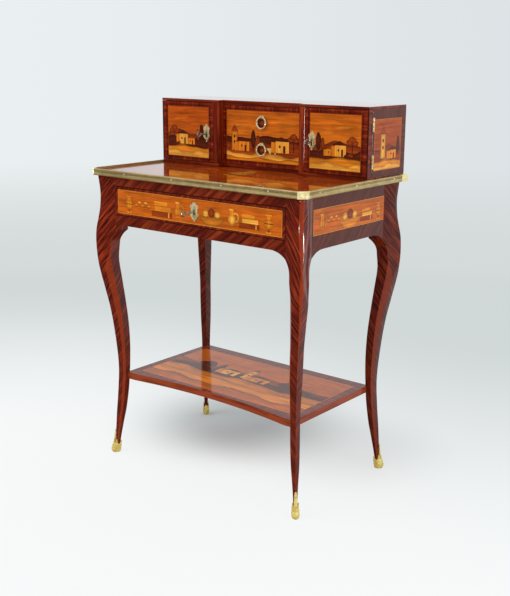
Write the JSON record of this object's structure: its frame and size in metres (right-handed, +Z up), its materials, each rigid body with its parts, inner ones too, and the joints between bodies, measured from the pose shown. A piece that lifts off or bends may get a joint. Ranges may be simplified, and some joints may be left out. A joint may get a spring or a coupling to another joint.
{
  "type": "writing desk",
  "caption": "Small lady's writing desk with cabriole legs, a frieze drawer, a set-back cabinet with doors and small drawers, a lower shelf, marquetry and gilt mounts.",
  "frame": {"origin": "on the floor under the middle of the bounding box, which takes in the writing drawer's key", "axes": "+X to the right of a person facing the front, -Y towards that person, +Z up"},
  "size_m": [0.656, 0.435, 0.911],
  "materials": {
    "leg_veneer": "french-polished dark veneer laid in chevrons",
    "dark_veneer": "french-polished dark red-brown veneer",
    "marquetry": "french-polished pictorial marquetry in a dark border",
    "plain_wood": "plain waxed wood",
    "gilt_bronze": "worn gilt bronze",
    "brass": "pale polished brass",
    "lock_steel": "dull iron"
  },
  "bodies": {
    "frame": {"leg_front_left": "leg_veneer", "leg_front_right": "leg_veneer", "leg_back_left": "leg_veneer", "leg_back_right": "leg_veneer", "sabot_front_left": "gilt_bronze", "sabot_front_right": "gilt_bronze", "sabot_back_left": "gilt_bronze", "sabot_back_right": "gilt_bronze", "frieze_top_rail": "dark_veneer", "frieze_bottom_rail": "dark_veneer", "frieze_side_left": "marquetry", "frieze_side_right": "marquetry", "frieze_back": "plain_wood", "drawer_runners": "plain_wood", "table_top": "marquetry", "rim_front": "gilt_bronze", "rim_left": "gilt_bronze", "rim_right": "gilt_bronze", "rim_corner_pieces": "gilt_bronze", "rim_nails": "gilt_bronze", "lower_shelf": "marquetry", "cabinet_base": "dark_veneer", "cabinet_top": "dark_veneer", "cabinet_end_left": "marquetry", "cabinet_end_right": "marquetry", "partition_left": "dark_veneer", "partition_right": "dark_veneer", "cabinet_back": "plain_wood", "drawer_divider": "plain_wood", "middle_rail": "dark_veneer", "cabinet_hinge_leaves": "brass"},
    "left_door": {"door_left": "marquetry", "door_left_hinge_leaves": "brass", "door_left_escutcheon": "brass", "door_left_lock": "lock_steel"},
    "left_bolt": {"door_left_bolt": "brass"},
    "left_key": {"door_left_key": "brass"},
    "right_door": {"door_right": "marquetry", "door_right_hinge_leaves": "brass", "door_right_escutcheon": "brass", "door_right_lock": "lock_steel"},
    "right_bolt": {"door_right_bolt": "brass"},
    "right_key": {"door_right_key": "brass"},
    "writing_drawer": {"writing_drawer_front": "marquetry", "writing_drawer_sides": "plain_wood", "writing_drawer_back": "plain_wood", "writing_drawer_bottom": "plain_wood", "writing_drawer_escutcheon": "brass", "writing_drawer_lock": "lock_steel"},
    "writing_bolt": {"writing_drawer_bolt": "brass"},
    "writing_key": {"writing_drawer_key": "brass"},
    "upper_drawer": {"upper_drawer_front": "marquetry", "upper_drawer_box": "plain_wood", "upper_ring_stud": "brass"},
    "upper_ring": {"upper_ring": "brass"},
    "lower_drawer": {"lower_drawer_front": "marquetry", "lower_drawer_box": "plain_wood", "lower_ring_stud": "brass"},
    "lower_ring": {"lower_ring": "brass"}
  },
  "joints": [
    {"name": "writing_drawer_slide", "type": "slide", "parent": "frame", "child": "writing_drawer", "axis": [0, -1, 0], "range_m": [0, 0.25]},
    {"name": "left_door_hinge", "type": "hinge", "parent": "frame", "child": "left_door", "pos_m": [-0.3196, 0.07025, 0.8295], "axis": [0, 0, -1], "range_deg": [0, 110]},
    {"name": "right_door_hinge", "type": "hinge", "parent": "frame", "child": "right_door", "pos_m": [0.3196, 0.07025, 0.8295], "axis": [0, 0, 1], "range_deg": [0, 110]},
    {"name": "upper_drawer_slide", "type": "slide", "parent": "frame", "child": "upper_drawer", "axis": [0, -1, 0], "range_m": [0, 0.09]},
    {"name": "lower_drawer_slide", "type": "slide", "parent": "frame", "child": "lower_drawer", "axis": [0, -1, 0], "range_m": [0, 0.09]},
    {"name": "upper_ring_swing", "type": "hinge", "parent": "upper_drawer", "child": "upper_ring", "pos_m": [0, 0.0693, 0.87389], "axis": [-1, 0, 0], "range_deg": [0, 85]},
    {"name": "lower_ring_swing", "type": "hinge", "parent": "lower_drawer", "child": "lower_ring", "pos_m": [0, 0.0693, 0.80839], "axis": [-1, 0, 0], "range_deg": [0, 85]},
    {"name": "writing_key_turn", "type": "hinge", "parent": "writing_drawer", "child": "writing_key", "pos_m": [0, -0.1725, 0.6723], "axis": [0, 1, 0], "range_deg": [0, 90]},
    {"name": "writing_bolt_slide", "type": "slide", "parent": "writing_drawer", "child": "writing_bolt", "axis": [0, 0, 1], "range_m": [0, 0.00501]},
    {"name": "left_key_turn", "type": "hinge", "parent": "left_door", "child": "left_key", "pos_m": [-0.1635, 0.0545, 0.8265], "axis": [0, -1, 0], "range_deg": [0, 90]},
    {"name": "left_bolt_slide", "type": "slide", "parent": "left_door", "child": "left_bolt", "axis": [1, 0, 0], "range_m": [0, 0.00501]},
    {"name": "right_key_turn", "type": "hinge", "parent": "right_door", "child": "right_key", "pos_m": [0.1635, 0.0545, 0.8265], "axis": [0, 1, 0], "range_deg": [0, 90]},
    {"name": "right_bolt_slide", "type": "slide", "parent": "right_door", "child": "right_bolt", "axis": [-1, 0, 0], "range_m": [0, 0.00501]}
  ],
  "couplings": [
    {"joint": "writing_bolt_slide", "follows": "writing_key_turn", "m_per_rad": 0.0031831},
    {"joint": "left_bolt_slide", "follows": "left_key_turn", "m_per_rad": 0.0031831},
    {"joint": "right_bolt_slide", "follows": "right_key_turn", "m_per_rad": 0.0031831}
  ]
}
